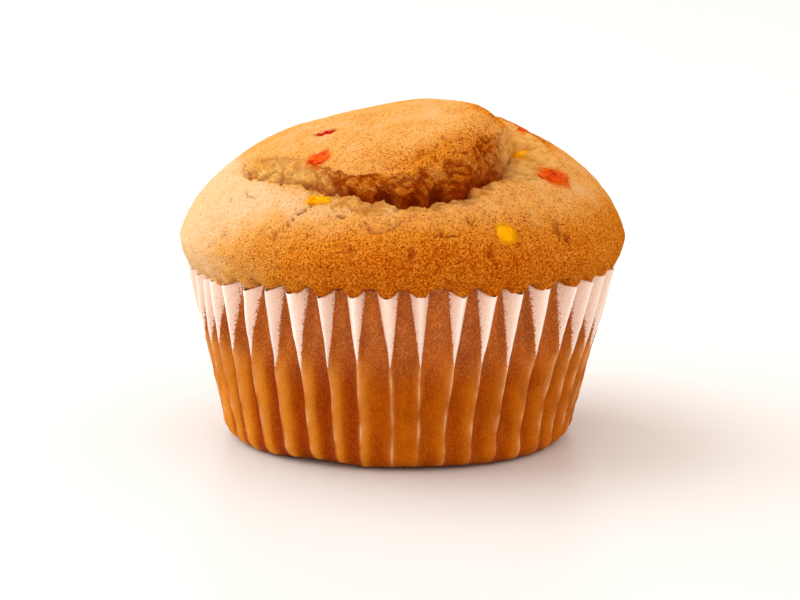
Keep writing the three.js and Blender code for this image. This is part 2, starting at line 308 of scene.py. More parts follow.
def build_paper(case, cake):
    """The paper: a flat base, a heel that curves up from it, and the pleated wall."""
    pleats = Pleats(case)
    rings = BASE_RINGS + HEEL_RINGS + WALL_RINGS
    spokes = PLEATS * SPOKES_PER_PLEAT
    points = np.zeros((rings + 1, spokes, 3))
    lit, fold, pleat_shade = np.zeros((3, rings + 1, spokes))
    dry = np.full((rings + 1, spokes), -1.0)
    rim = case.rim_height / MM
    panel_rim = rim + PANEL_RISE
    base_radius = case.base_radius / MM
    level = np.arange(WALL_RINGS + 1) / WALL_RINGS
    down = 1.0 - level
    heel = np.arange(1, HEEL_RINGS + 1) / (HEEL_RINGS + 1)
    wall_foot = BASE_RINGS + HEEL_RINGS
    wall = slice(wall_foot, rings + 1)
    heel_rows = slice(BASE_RINGS, wall_foot)
    flute = smooth(down, 0.2, 0.6)
    for pleat in range(PLEATS):
        following = (pleat + 1) % PLEATS
        turn = 2.0 * math.pi if following == 0 else 0.0
        here = pleats.angle(pleat, down)
        there = pleats.angle(following, down) + turn
        half_here = pleats.half_width(pleat, down)
        half_there = pleats.half_width(following, down)
        half_pitch = (there - here) / 2.0
        for step in range(SPOKES_PER_PLEAT):
            spoke = pleat * SPOKES_PER_PLEAT + step
            if step <= SPOKES_PER_PLEAT // 2:
                owner, apex, half, side = pleat, here, half_here, 1.0
                steps_out = step
            else:
                owner, apex, half, side = following, there, half_there, -1.0
                steps_out = SPOKES_PER_PLEAT - step
            if steps_out <= RIDGE_HALF:
                away = half * steps_out / RIDGE_HALF
            else:
                part = (steps_out - RIDGE_HALF) / (SPOKES_PER_PLEAT / 2 - RIDGE_HALF)
                away = half + (half_pitch - half) * part
            angle = apex + side * away
            across = np.minimum(away / half, 1.0)
            toward = np.minimum(away / half_pitch, 1.0)
            open_shape = 1.0 - across ** pleats.bluntness[owner]
            low_shape = (1.0 - toward) ** 2.3
            out = mix(open_shape, low_shape, flute)
            bulge = 0.25 * smooth(toward, 0.35, 1.0) * (1.0 - flute)
            radius = wall_radius(case, level) + pleats.crest(owner, down) * out + bulge
            top = mix(panel_rim, rim, open_shape) + pleats.rise[owner] * level**3
            z = mix(FOOT_HEIGHT, top, level)
            points[wall, spoke] = np.stack((radius * np.cos(angle), radius * np.sin(angle), z), axis=-1)
            dry_part = pleats.dry_part(owner, down)
            dry[wall, spoke] = dry_part - across - 0.06
            faint = mix(1.0, 0.6 + 0.4 * np.sin(pleats.sway[owner] + 26.0 * down), smooth(down, 0.45, 0.7))
            fold[wall, spoke] = (1.0 - toward) ** 11 * smooth(down, 0.3, 0.5) * faint
            # painted light and shade across each pleat: bright beside one ridge, darkening towards the next
            # one back
            off_front = np.degrees(angle[0]) + 90.0
            outer = np.tanh(((off_front + 180.0) % 360.0 - 180.0) / SHADE_SIDE_TURN)
            past = toward / 2.0 if side * outer < 0.0 else 1.0 - toward / 2.0
            shade = -abs(outer) * np.cos(math.pi * np.minimum(1.7 * past, 1.0)) * smooth(toward, 0.0, 0.1)
            # painted highlight along the ridge of each dry wedge, fading out towards the front
            lit[wall, spoke] = smooth(abs(outer), 0.2, 0.8) * np.exp(-((across / 0.17) ** 2))
            if outer > 0.0:
                shade = 0.6 * np.maximum(shade, 0.45 * shade)
            pleat_shade[wall, spoke] = 0.5 + 0.5 * shade * smooth(down, 0.3, 0.55)
            # the heel curves in from the wall's foot to the flat base, and its ridges flatten out
            curve_in = np.sin(heel * math.pi / 2.0)
            heel_radius = mix(base_radius, radius[0], curve_in)
            heel_z = FOOT_HEIGHT * (1.0 - np.cos(heel * math.pi / 2.0))
            direction = np.array((math.cos(angle[0]), math.sin(angle[0])))
            points[heel_rows, spoke, :2] = heel_radius[:, None] * direction
            points[heel_rows, spoke, 2] = heel_z
            fold[heel_rows, spoke] = fold[wall_foot, spoke] * heel
            pleat_shade[heel_rows, spoke] = pleat_shade[wall_foot, spoke]
            for ring in range(BASE_RINGS):
                points[ring, spoke, :2] = base_radius * ring / BASE_RINGS * direction
    # small kinks and dents from handling, none where the paper is flat on the table
    crumple = smooth(points[..., 2], 0.2, 3.0)
    upper = smooth(points[..., 2], 16.0, 24.0)
    dents = waves(points, 5.5, 3, 2) * 0.12 + waves(points, 1.7, 4, 2) * 0.06 * (1.0 - 0.6 * upper)
    outwards = points[..., :2] / np.maximum(np.hypot(points[..., 0], points[..., 1]), 1e-6)[..., None]
    points[..., :2] += outwards * (dents * crumple)[..., None]
    points = heel_set(points)
    points = settle(points, cake.dome_foot / MM, cake.dome_top / MM, rim)
    points[..., 2] = np.maximum(points[..., 2], 0.0)
    stain = np.clip(0.5 + 0.9 * waves(points * (1.0, 1.0, 0.4), 2.6, 5, 3), 0.0, 1.0)
    high = smooth(points[..., 2], 12.0, 22.0)
    fold *= np.clip(0.8 + 0.7 * waves(points, 2.4, 6, 2), 0.0, 1.0)
    layers = {"dry": dry, "lit": lit, "fold": fold, "pleat_shade": pleat_shade, "stain": stain, "high": high}
    piece = shape_sheet("pleated_paper_case", rings, spokes, points, layers, paper_material(case))
    thickness = piece.modifiers.new("paper", "SOLIDIFY")
    thickness.thickness = case.paper
    thickness.offset = -1.0
    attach(piece, "root")
    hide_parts("paper_case")


def heel_set(points):
    """The heel's uneven stand: lifted a little at the front left, and bulged at the front right."""
    angles = np.arctan2(points[..., 1], points[..., 0])
    low = 1.0 - smooth(points[..., 2], 0.0, 7.0)
    rim = smooth(np.hypot(points[..., 0], points[..., 1]), 20.0, 25.0)
    bulged = around(angles, -55.0, 50.0) * low * rim
    lifted = np.maximum(around(angles, -118.0, 28.0), 0.6 * around(angles, -80.0, 50.0)) * low * rim
    scale = 1.0 + 0.04 * bulged - 0.012 * lifted
    return np.stack((points[..., 0] * scale, points[..., 1] * scale, points[..., 2] + 0.75 * lifted), axis=-1)


# ---------------------------------------------------------------- cake

FRUIT = {
    "red_bit_crown_front": "red_fruit",
    "orange_bit_crown_left": "orange_fruit",
    "yellow_bit_lip_left": "yellow_fruit",
    "yellow_bit_crust_right": "yellow_fruit",
    "orange_bit_rim_right": "orange_fruit",
    "yellow_bit_crumb_right": "yellow_fruit",
    "orange_bit_rim_back": "orange_fruit",
    "red_bit_back": "red_fruit",
    "yellow_bit_left_back": "yellow_fruit",
}


def dome_height(cake, radius):
    """Height of the plain dome at a radius."""
    foot, top = cake.dome_foot / MM, cake.dome_top / MM
    spread = np.minimum(radius / (cake.dome_radius / MM), 1.0)
    return foot + (top - foot) * (1.0 - spread**2) ** cake.dome_curve


def dome_radius_at(cake, height):
    """Radius of the plain dome at a height."""
    foot, top = cake.dome_foot / MM, cake.dome_top / MM
    part = np.clip((height - foot) / (top - foot), 0.0, 1.0)
    return cake.dome_radius / MM * np.sqrt(1.0 - part ** (1.0 / cake.dome_curve))


def crack_around(angles):
    """The crack's five values for each direction, eased between its stations."""
    degrees = (np.degrees(angles) - CRACK[0][0]) % 360.0 + CRACK[0][0]
    table = np.array(CRACK, dtype=float)
    after = np.searchsorted(table[:, 0], degrees, side="right")
    a, b = table[after - 1], table[after]
    part = smooth(degrees, a[:, 0], b[:, 0])
    return [mix(a[:, column], b[:, column], part) for column in range(1, 6)]


def around(angles, middle, reach):
    """1 at a direction in degrees, easing to 0 at the given reach to either side of it."""
    away = np.abs((np.degrees(angles) - middle + 180.0) % 360.0 - 180.0)
    return 1.0 - smooth(away, 0.0, reach)


def front_first(spokes):
    """Directions all the way round, closest together at the front."""
    turn = np.arange(spokes) * 2.0 * math.pi / spokes
    return turn + FRONT_CROWDING * np.cos(turn)


def zone_rows(zone):
    """The rows of one of the cake's zones, each with the part of the zone that it completes."""
    names = list(CAKE_ZONES)
    before = sum(CAKE_ZONES[name] for name in names[: names.index(zone)])
    count = CAKE_ZONES[zone]
    return [(before + step, step / count) for step in range(1, count + 1)]


def build_cake(cake, case):
    """The cake, row by row from the crown's middle, over the torn crack and the brim, to the hidden base."""
    pleats = Pleats(case)
    rings = sum(CAKE_ZONES.values())
    spokes = CAKE_SPOKES
    angles = front_first(spokes)
    crown, rise, foot, depth, lip = crack_around(angles)
    openness = smooth(rise + depth, 0.3, 2.5)
    circle = CIRCLE * np.stack((np.cos(angles), np.sin(angles), np.zeros(spokes)), axis=-1)
    crown = crown + openness * (0.5 * waves(circle, 3.0, 11, 2) + 0.4 * waves(circle, 1.0, 12))
    foot = np.maximum(foot + openness * 0.5 * waves(circle, 2.2, 13, 2), crown + 0.5)
    lip = lip + openness * (0.5 * waves(circle, 2.6, 14, 2) + 0.3 * waves(circle, 0.9, 15))
    lip = np.maximum(lip, foot + 0.8)
    depth = depth * (1.0 + 0.35 * waves(circle, 3.5, 16, 2))
    # on the left the crust breaks off short, and at the front it runs on over the crown's hanging bulge
    bulge = around(angles, -75.0, 52.0)
    shoulder = 0.35 + 0.9 * around(angles, 0.0, 75.0) + 0.3 * around(angles, -80.0, 35.0)
    browned = np.clip(2.2 * around(angles, -83.0, 47.0), 0.0, 1.0)
    radius, height, torn, crevice_shade, coarse = np.zeros((5, rings + 1, spokes))
    crust = np.ones((rings + 1, spokes))
    toast = np.tile(browned, (rings + 1, 1))
    height[0] = dome_height(cake, 0.0)
    for row, done in zone_rows("crown"):
        part = 1.0 - (1.0 - done) ** 1.35
        radius[row] = crown * part
        rounding = openness * shoulder * smooth(part, 0.78, 1.0) ** 1.5
        height[row] = dome_height(cake, radius[row]) + rise * smooth(part, *CROWN_LIFT) - rounding
        coarse[row] = bulge * smooth(part, 0.74, 1.0)
    edge_height = height[row]
    foot_height = dome_height(cake, foot) - depth
    undercut = 0.35 + 0.5 * waves(circle, 1.8, 17, 2)
    for middle, reach, deepness in PITS:
        undercut = undercut + deepness * around(angles, middle, reach)
    undercut = around(angles, -88.0, 60.0) ** 0.5 * np.clip(undercut, 0.0, 4.0)
    slab = around(angles, -103.0, 24.0) * np.clip(1.2 + waves(circle, 2.5, 18, 2), 0.0, 1.0)
    for row, part in zone_rows("face"):
        reach = math.sin(FACE_TURN * part) / math.sin(FACE_TURN)
        steep = mix(part, mix(part**0.8, reach, 0.4 + 0.6 * bulge), openness)
        cut = undercut * smooth(part, 0.66 - 0.05 * undercut, 0.88)
        radius[row] = crown + (foot - crown) * steep - cut
        height[row] = mix(edge_height, foot_height, mix(part, part ** (1.15 + 0.6 * bulge), openness))
        torn[row] = openness * smooth(part, mix(-0.12, -0.1, bulge), mix(0.06, 0.5, bulge))
        coarse[row] = openness
        # painted shade towards the foot of the torn face and under its overhang
        crevice_shade[row] = openness * np.maximum(smooth(part, 0.6, 1.0) * 0.8, smooth(cut, 0.4, 1.6))
    for row, part in zone_rows("floor"):
        radius[row] = mix(foot - undercut, lip, part)
        height[row] = dome_height(cake, np.maximum(radius[row], foot)) - depth * (1.0 - part) ** FLOOR_CURVE
        torn[row] = openness * (1.0 - smooth(part, 0.7, 1.0) * (1.0 - slab))
        toast[row] = 0.15 * browned
        # painted shade along the foot of the torn face
        crevice_shade[row] = openness * (1.0 - smooth(radius[row] - foot, -0.5, 0.5))
    lip_height = dome_height(cake, lip)
    for row, part in zone_rows("flank"):
        height[row] = mix(lip_height, cake.dome_foot / MM, part)
        radius[row] = dome_radius_at(cake, height[row])
        torn[row] = slab * (1.0 - smooth(part, 0.06, 0.2))
        toast[row] = 0.15
    # the brim turns in over the rim of the paper and dips into its ridges
    rim = case.rim_height / MM
    ridge = ridge_out(pleats, angles, 0.0)
    crest = CREST * ridge
    rim_line = rim + PANEL_RISE * (1.0 - ridge)
    panel = case.panel_radius / MM
    widest = cake.dome_radius / MM
    stops = np.array((0.0, 0.3, 0.62, 0.8, 1.0))
    ring_radius = np.stack(
        (
            np.full(spokes, widest),
            np.full(spokes, widest - 0.45),
            np.full(spokes, widest - 1.5),
            np.minimum(panel + 0.8 + crest * 0.75, widest - 2.0),
            panel - 0.8 + crest * 0.12,
        )
    )
    ring_height = np.stack(
        (
            np.full(spokes, cake.dome_foot / MM),
            mix(cake.dome_foot / MM, rim_line, 0.5),
            rim_line + 0.45,
            rim_line + 0.25 - 0.6 * ridge,
            rim_line - 0.9 - 0.5 * ridge,
        )
    )
    for row, part in zone_rows("brim"):
        for spoke in range(spokes):
            radius[row, spoke] = np.interp(part, stops, ring_radius[:, spoke])
            height[row, spoke] = np.interp(part, stops, ring_height[:, spoke])
    side_top = height[row]
    for row, part in zone_rows("side"):
        height[row] = mix(side_top, 1.6, part)
        up = (height[row] - FOOT_HEIGHT) / (rim - FOOT_HEIGHT)
        radius[row] = wall_radius(case, up) - mix(0.8, 1.1, part)
        crust[row] = 0.0
    for row, part in zone_rows("base"):
        radius[row] = (case.base_radius / MM - 1.6) * (1.0 - part)
        height[row] = 0.6
        crust[row] = 0.0
    angle_grid = np.broadcast_to(angles, radius.shape)
    points = np.stack((radius * np.cos(angle_grid), radius * np.sin(angle_grid), height), axis=-1)
    points[..., 2] += crown_set(points)
    points, layers = roughen(points, torn, crevice_shade, crust, toast, coarse)
    points = settle(points, cake.dome_foot / MM, cake.dome_top / MM, rim)
    layers["juice"], layers["hue"] = juice_stains(points)
    piece = shape_sheet("baked_cake", rings, spokes, points, layers, cake_material(cake))
    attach(piece, "root")
    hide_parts("cake")


def crown_set(points):
    """The crown's lean: its top stands to the right, and its left side lies lower."""
    x, y, z = points[..., 0], points[..., 1], points[..., 2]
    left = smooth(-x, -3.0, 5.0) * (1.0 - smooth(-x, 9.0, 26.0))
    right = np.exp(-((x - 9.0) ** 2 + y**2) / 30.0)
    shell = np.exp(-((x - 19.5) ** 2 + (y - 4.0) ** 2) / 40.0)
    return (0.7 * right - 0.95 * left - 0.7 * shell) * smooth(z, 42.0, 48.0)


def juice_stains(points):
    """How far the fruit has coloured the cake, and its hue: 0 for red, 0.5 for orange, 1 for yellow."""
    hues = {"red_fruit": 0.0, "orange_fruit": 0.5, "yellow_fruit": 1.0}
    juice, hue = np.zeros((2, *points.shape[:-1]))
    blur = 0.4 * waves(points, 1.6, 71, 2) + 0.25 * waves(points, 0.5, 72)
    for node, slot in FRUIT.items():
        low, high = (np.array(corner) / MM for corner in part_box(node))
        away = np.linalg.norm((points - (low + high) / 2.0) / ((high - low) / 2.0), axis=-1)
        stain = 1.0 - smooth(away + blur, 0.9, 1.7)
        hue = np.where(stain > juice, hues[slot], hue)
        juice = np.maximum(juice, stain)
    return juice, hue


def ridge_out(pleats, angles, down):
    """0 at the panels and 1 at the apex of a ridge, for each direction."""
    out = np.zeros(len(angles))
    for index in range(PLEATS):
        apex = float(pleats.angle(index, np.array([down]))[0])
        half = float(pleats.half_width(index, np.array([down]))[0])
        away = np.abs((angles - apex + math.pi) % (2.0 * math.pi) - math.pi) / half
        inside = away < 1.0
        out[inside] = 1.0 - away[inside] ** pleats.bluntness[index]
    return out


def grid_normals(points):
    """Outward normals of a (ring, spoke) grid."""
    down = np.gradient(points, axis=0)
    across = np.roll(points, -1, axis=1) - np.roll(points, 1, axis=1)
    normals = np.cross(down, across)
    return normals / np.maximum(np.linalg.norm(normals, axis=-1, keepdims=True), 1e-9)


CRUMBS = ((2.1, 0.75, 61), (1.0, 0.42, 62), (0.5, 0.2, 63))  # size, height and seed of each set of lumps


def crumb_lumps(points):
    """Rounded crumbs with sharp clefts between them: their relief in millimetres, and the clefts' mask."""
    relief, clefts = np.zeros((2, *points.shape[:-1]))
    for size, height, seed in CRUMBS:
        folded = np.abs(waves(points, size, seed))
        relief += height * (folded - 0.3)
        clefts += 1.4 * height * np.exp(-((folded / 0.12) ** 2))
    return relief, clefts


# Marks in the crust: direction in degrees and radius of each point along it, then its depth and half width.
CREASES = (
    (((-117.3, 29.5), (-118.6, 29.9), (-119.0, 30.6)), 0.5, 0.26),
    (((-119.4, 30.7), (-121.2, 31.3), (-122.6, 32.3)), 0.35, 0.24),
    (((-99.6, 32.2), (-97.6, 32.7), (-94.8, 32.6), (-92.4, 32.1), (-90.6, 31.5)), 0.22, 0.24),
    (((-100.8, 31.5), (-98.8, 32.0)), 0.22, 0.2),
    (((-95.5, 31.9), (-93.0, 31.5)), 0.2, 0.2),
    (((-109.4, 30.2), (-108.9, 30.8), (-106.6, 31.1)), 0.36, 0.22),
    (((-113.5, 31.5), (-112.0, 31.9)), 0.22, 0.2),
    (((-81.0, 32.7), (-79.4, 33.3), (-76.8, 33.1)), 0.3, 0.22),
    (((-145.0, 29.5), (-141.0, 30.0), (-138.5, 29.6)), 0.2, 0.24),
    (((-150.0, 30.5), (-148.5, 31.2)), 0.2, 0.24),
    (((-61.6, 29.4), (-59.8, 29.7)), 0.22, 0.2),
    (((-104.0, 24.5), (-102.0, 24.3), (-100.0, 24.5)), 0.15, 0.22),
    (((40.0, 29.0), (44.0, 30.2), (47.0, 30.6)), 0.35, 0.35),
    (((120.0, 27.5), (123.0, 28.9), (122.0, 30.4)), 0.35, 0.35),
    (((170.0, 30.0), (174.0, 30.6), (178.0, 30.2)), 0.25, 0.32),
    (((75.0, 31.5), (79.0, 32.4)), 0.25, 0.32),
)
# Small hollows: direction, radius, half width and depth
HOLLOWS = (
    (-45.1, 33.5, 0.7, 0.35),
    (-43.2, 34.3, 0.6, 0.3),
    (-141.0, 15.8, 1.2, 0.55),
    (-27.7, 26.7, 0.45, 0.5),
    (-72.0, 31.8, 0.4, 0.25),
    (-125.0, 33.6, 0.5, 0.3),
    (-103.0, 34.3, 0.5, 0.3),
    (-88.0, 34.6, 0.6, 0.3),
    (-68.0, 34.6, 0.5, 0.3),
    (30.0, 31.0, 0.6, 0.35),
    (100.0, 33.0, 0.6, 0.35),
    (150.0, 28.5, 0.5, 0.3),
)


def polar(degrees, radius):
    """The place at a direction and a radius."""
    angle = math.radians(degrees)
    return radius * np.array((math.cos(angle), math.sin(angle)))


def hand_marks(points):
    """How deep the creases and hollows go, and a mask of them, at each point of the upper crust."""
    flat = points[..., :2]
    deep = np.zeros(flat.shape[:-1])
    marked = np.zeros(flat.shape[:-1])
    wobble = 1.0 + 0.5 * waves(points, 0.8, 41)
    drift = 0.22 * np.stack([waves(points, 1.3, 42 + axis) for axis in range(2)], axis=-1)
    flat = flat + drift
    for path, depth, width in CREASES:
        places = [polar(*place) for place in path]
        near = np.full(deep.shape, 99.0)
        for start, end in zip(places, places[1:]):
            along = end - start
            part = np.clip(((flat - start) @ along) / (along @ along), 0.0, 1.0)
            near = np.minimum(near, np.linalg.norm(flat - start - part[..., None] * along, axis=-1))
        line = np.exp(-((near / (0.65 * width * wobble)) ** 2))
        # one side of a crease stands up a little
        edge = np.exp(-(((near - 1.7 * width) / (0.8 * width)) ** 2))
        deep = np.maximum(deep, depth * line - 0.3 * depth * edge)
        marked = np.maximum(marked, line * min(1.0, depth / 0.4))
    for degrees, radius, width, depth in HOLLOWS:
        near = np.linalg.norm(flat - polar(degrees, radius), axis=-1)
        hollow = np.exp(-((near / (width * wobble)) ** 2))
        deep = np.maximum(deep, depth * hollow)
        marked = np.maximum(marked, hollow * 0.8)
    upper = smooth(points[..., 2], 33.0, 34.0)
    return deep * upper, marked * upper


def roughen(points, torn, crevice_shade, crust, toast, coarse):
    """Lumps, crumb, pores and creases over the smooth shape, with the masks that colour them, painted light
    and shade among them.
    """
    normals = grid_normals(points)
    normals[0] = (0.0, 0.0, 1.0)
    angles = np.arctan2(points[..., 1], points[..., 0])
    broad = waves(points, 11.0, 21, 2)
    medium = waves(points, 3.2, 22, 2)
    fine = waves(points, 1.1, 23, 2)
    ragged = torn + (1.0 - np.abs(2.0 * torn - 1.0)) * (0.9 * medium + 0.8 * fine)
    torn = smooth(ragged, 0.15, 0.75)
    low = smooth(40.0 - points[..., 2], 0.0, 8.0)
    left_low = around(angles, -135.0, 40.0) * low
    skin = crust * (1.0 - torn)
    dimples = pits(points, 1.6, 28, -0.4, 0.2 + 0.08 * left_low)
    move = crust * 0.25 * broad + skin * ((0.09 + 0.3 * left_low) * medium + (0.07 + 0.3 * left_low) * fine)
    move -= skin * (0.25 + 0.2 * low) * dimples
    warped = points + 0.5 * np.stack([waves(points, 1.6, 51 + axis) for axis in range(3)], axis=-1)
    relief, clefts = crumb_lumps(warped)
    holes = pits(points, 1.5, 27, -0.1, 0.42)
    rough = torn + 0.55 * skin * coarse
    rough *= 1.0 - 0.5 * around(angles, 0.0, 60.0) + 0.4 * around(angles, -145.0, 40.0)
    move += rough * (relief - 0.3 * holes)
    deep, marked = hand_marks(points)
    move -= skin * deep * 1.2
    moved = points + normals * move[..., None]
    # painted shade in the crumb's clefts and holes, and in the crust's creases, hollows and dimples
    cavity_shade = np.clip(rough * (clefts + 0.6 * holes), 0.0, 1.0)
    cavity_shade = np.maximum(cavity_shade, skin * np.clip(1.2 * marked + dimples * 0.8, 0.0, 1.0))
    lit_left = around(angles, -174.0, 78.0)
    # painted light makes the left flank palest; the crust darkens towards the bottom, and the crown's right
    # edge is darkest
    lower = smooth(41.8 - points[..., 2], 0.0, 8.0)
    lower *= 1.0 - 0.85 * lit_left - 0.35 * around(angles, -10.0, 60.0)
    lit_left *= smooth(46.0 - points[..., 2], 0.0, 5.0)
    bake_and_light = 0.27 + 0.67 * lower + 0.07 * broad + 0.05 * medium + 0.3 * coarse * toast - 0.5 * lit_left
    from_axis = np.hypot(points[..., 0], points[..., 1])
    crown_edge = smooth(from_axis, 8.0, 15.0) * smooth(points[..., 2], 45.0, 48.0)
    bake_and_light += 0.55 * around(angles, -5.0, 55.0) * crown_edge
    toast = toast * (1.0 + 0.4 * medium)
    layers = {
        "torn": torn,
        "crevice_shade": crevice_shade,
        "cavity_shade": cavity_shade,
        "bake_and_light": np.clip(bake_and_light, 0.0, 1.0),
        "toast": np.clip(toast, 0.0, 1.0),
    }
    return moved, layers


# ---------------------------------------------------------------- fruit

PROUD = 0.16  # how far the fruit stands out of the crust, in millimetres


def build_fruit(node, material, crust):
    """A soft lump of candied fruit, from its plain solid, pressed down almost level with the crust."""
    bm = bmesh.new()
    bm.from_mesh(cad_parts[node].data)
    bmesh.ops.remove_doubles(bm, verts=bm.verts, dist=0.01 * MM)
    bmesh.ops.subdivide_edges(bm, edges=bm.edges, cuts=3, use_grid_fill=True, smooth=0.9)
    bmesh.ops.triangulate(bm, faces=bm.faces)
    middle = sum((v.co for v in bm.verts), Vector()) / len(bm.verts)
    for vertex in bm.verts:
        away = vertex.co - middle
        place = vertex.co / MM
        lump = 0.16 * noise.noise(place / 1.1) + 0.07 * noise.noise(place / 0.4)
        place = middle + away * (0.9 + lump)
        near, normal, _, _ = crust.find_nearest(place)
        out = (place - near).dot(normal) / MM
        proud = PROUD * (0.75 + 0.9 * noise.noise(vertex.co / MM / 0.9 + Vector((7.0, 3.0, 1.0))))
        if out > 0.0:
            place -= normal * (out - proud * (1.0 - math.exp(-out / PROUD))) * MM
        vertex.co = place
    bmesh.ops.recalc_face_normals(bm, faces=bm.faces)
    piece = finish_piece("fruit_" + node, bm, material)
    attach(piece, "root")
    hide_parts(node)


# ---------------------------------------------------------------- materials


def link(tree, source, target):
    """Joins an output socket to an input socket."""
    tree.links.new(source, target)


def new_node(tree, kind, **settings):
    """A node of a kind."""
    node = tree.nodes.new(kind)
    for key, value in settings.items():
        setattr(node, key, value)
    return node


CLUMPING = 0.4  # how much of a grain's tone it shares with its neighbours
NODE_WIDTH, NODE_HEIGHT = 220.0, 180.0  # spacing of the nodes in the shader editor


def grain_group():
    """Fine grain over a surface: masks of specks and of patches, and a height."""
    name = "Fine grain"
    if name in bpy.data.node_groups:
        return bpy.data.node_groups[name]
    tree = bpy.data.node_groups.new(name, "ShaderNodeTree")
    for socket in ("Scale", "Coarse scale"):
        tree.interface.new_socket(socket, in_out="INPUT", socket_type="NodeSocketFloat")
    for socket in ("Specks", "Sparks", "Patches", "Height"):
        tree.interface.new_socket(socket, in_out="OUTPUT", socket_type="NodeSocketFloat")
    inputs = new_node(tree, "NodeGroupInput")
    outputs = new_node(tree, "NodeGroupOutput")
    where = new_node(tree, "ShaderNodeTexCoord")
    fine = new_node(tree, "ShaderNodeTexNoise")
    coarse = new_node(tree, "ShaderNodeTexNoise")
    for texture, roughness in ((fine, 0.85), (coarse, 0.6)):
        texture.inputs["Detail"].default_value = 4.0
        texture.inputs["Roughness"].default_value = roughness
    cells = new_node(tree, "ShaderNodeTexVoronoi")
    fine_scale = combined(tree, "MULTIPLY", inputs.outputs["Scale"], 0.8)
    for texture, scale in (
        (fine, fine_scale),
        (coarse, inputs.outputs["Coarse scale"]),
        (cells, inputs.outputs["Scale"]),
    ):
        link(tree, where.outputs["Object"], texture.inputs["Vector"])
        link(tree, scale, texture.inputs["Scale"])
    # each grain has its own tone, and neighbouring grains clump a little
    clumped = scaled(tree, fine.outputs["Fac"], 0.35, 0.65, -CLUMPING, CLUMPING)
    tone = combined(tree, "ADD", cells.outputs["Color"], clumped)
    specks = scaled(tree, tone, 0.48, 0.05, 0.0, 1.0)
    sparks = scaled(tree, tone, 0.52, 0.95, 0.0, 1.0)
    patches = scaled(tree, coarse.outputs["Fac"], 0.32, 0.68, 0.0, 1.0)
    height = combined(tree, "ADD", fine.outputs["Fac"], cells.outputs["Distance"])
    for value, socket in zip((specks, sparks, patches, height), outputs.inputs):
        link(tree, value, socket)
    lay_out(tree)
    return tree


def lay_out(tree):
    """Sets the nodes out in columns, by how many links lie between each of them and the last."""
    column = {node.name: 0 for node in tree.nodes}
    for _ in tree.nodes:
        for wire in tree.links:
            source, target = wire.from_node.name, wire.to_node.name
            column[source] = max(column[source], column[target] + 1)
    filled = {}
    for node in tree.nodes:
        across = column[node.name]
        node.location = (-NODE_WIDTH * across, -NODE_HEIGHT * filled.get(across, 0))
        filled[across] = filled.get(across, 0) + 1


def new_material(name, roughness, specular):
    """A material, its node tree and its Principled shader."""
    material = bpy.data.materials.new(name)
    material.use_nodes = True
    tree = material.node_tree
    shader = tree.nodes["Principled BSDF"]
    shader.inputs["Roughness"].default_value = roughness
    shader.inputs["Specular IOR Level"].default_value = specular
    return material, tree, shader


def grain_node(tree, scale, coarse):
    """The fine grain at a scale, with its patches at a coarser one."""
    node = new_node(tree, "ShaderNodeGroup", node_tree=grain_group())
    node.inputs["Scale"].default_value = scale
    node.inputs["Coarse scale"].default_value = coarse
    return node


def mask(tree, name):
    """A value that the mesh carries at its vertices."""
    return new_node(tree, "ShaderNodeAttribute", attribute_name=name).outputs["Fac"]


def blend_colour(tree, factor, a, b):
    """A colour mix. a and b are sockets or plain colours, and the factor is a socket or a number."""
    node = new_node(tree, "ShaderNodeMix", data_type="RGBA")
    colours = [socket for socket in node.inputs if socket.type == "RGBA"]
    for value, socket in ((factor, node.inputs["Factor"]), (a, colours[0]), (b, colours[1])):
        if isinstance(value, bpy.types.NodeSocket):
            link(tree, value, socket)
        elif isinstance(value, float):
            socket.default_value = value
        else:
            socket.default_value = (*value, 1.0)
    return [socket for socket in node.outputs if socket.type == "RGBA"][0]


def scaled(tree, value, low, high, to_low, to_high):
    """A value mapped from one range to another and clamped."""
    node = new_node(tree, "ShaderNodeMapRange")
    for socket, number in zip(("From Min", "From Max", "To Min", "To Max"), (low, high, to_low, to_high)):
        node.inputs[socket].default_value = number
    link(tree, value, node.inputs["Value"])
    return node.outputs["Result"]


def ramp(tree, value, stops):
    """Colours along a value from 0 to 1, from (position, colour) pairs."""
    node = new_node(tree, "ShaderNodeValToRGB")
    first, last = node.color_ramp.elements
    first.color = (*stops[0][1], 1.0)
    last.color = (*stops[-1][1], 1.0)
    for position, between in stops[1:-1]:
        node.color_ramp.elements.new(position).color = (*between, 1.0)
    link(tree, value, node.inputs["Fac"])
    return node.outputs["Color"]


def combined(tree, operation, a, b):
    """Two values put together. Each is a socket or a number."""
    node = new_node(tree, "ShaderNodeMath", operation=operation)
    for value, socket in ((a, node.inputs[0]), (b, node.inputs[1])):
        if isinstance(value, bpy.types.NodeSocket):
            link(tree, value, socket)
        else:
            socket.default_value = value
    return node.outputs["Value"]


def weighted(tree, value, weight, low, high, to_low, to_high):
    """A value times a weight, which is first mapped from one range to another."""
    return combined(tree, "MULTIPLY", value, scaled(tree, weight, low, high, to_low, to_high))


def bump(tree, shader, height, strength, distance):
    """Fine relief, from a height."""
    node = new_node(tree, "ShaderNodeBump")
    node.inputs["Strength"].default_value = strength
    node.inputs["Distance"].default_value = distance
    link(tree, height, node.inputs["Height"])
    link(tree, node.outputs["Normal"], shader.inputs["Normal"])


GRAIN_SCALE = 4400.0  # of the cake's and the paper's grain, so that a grain is about 0.2 mm across


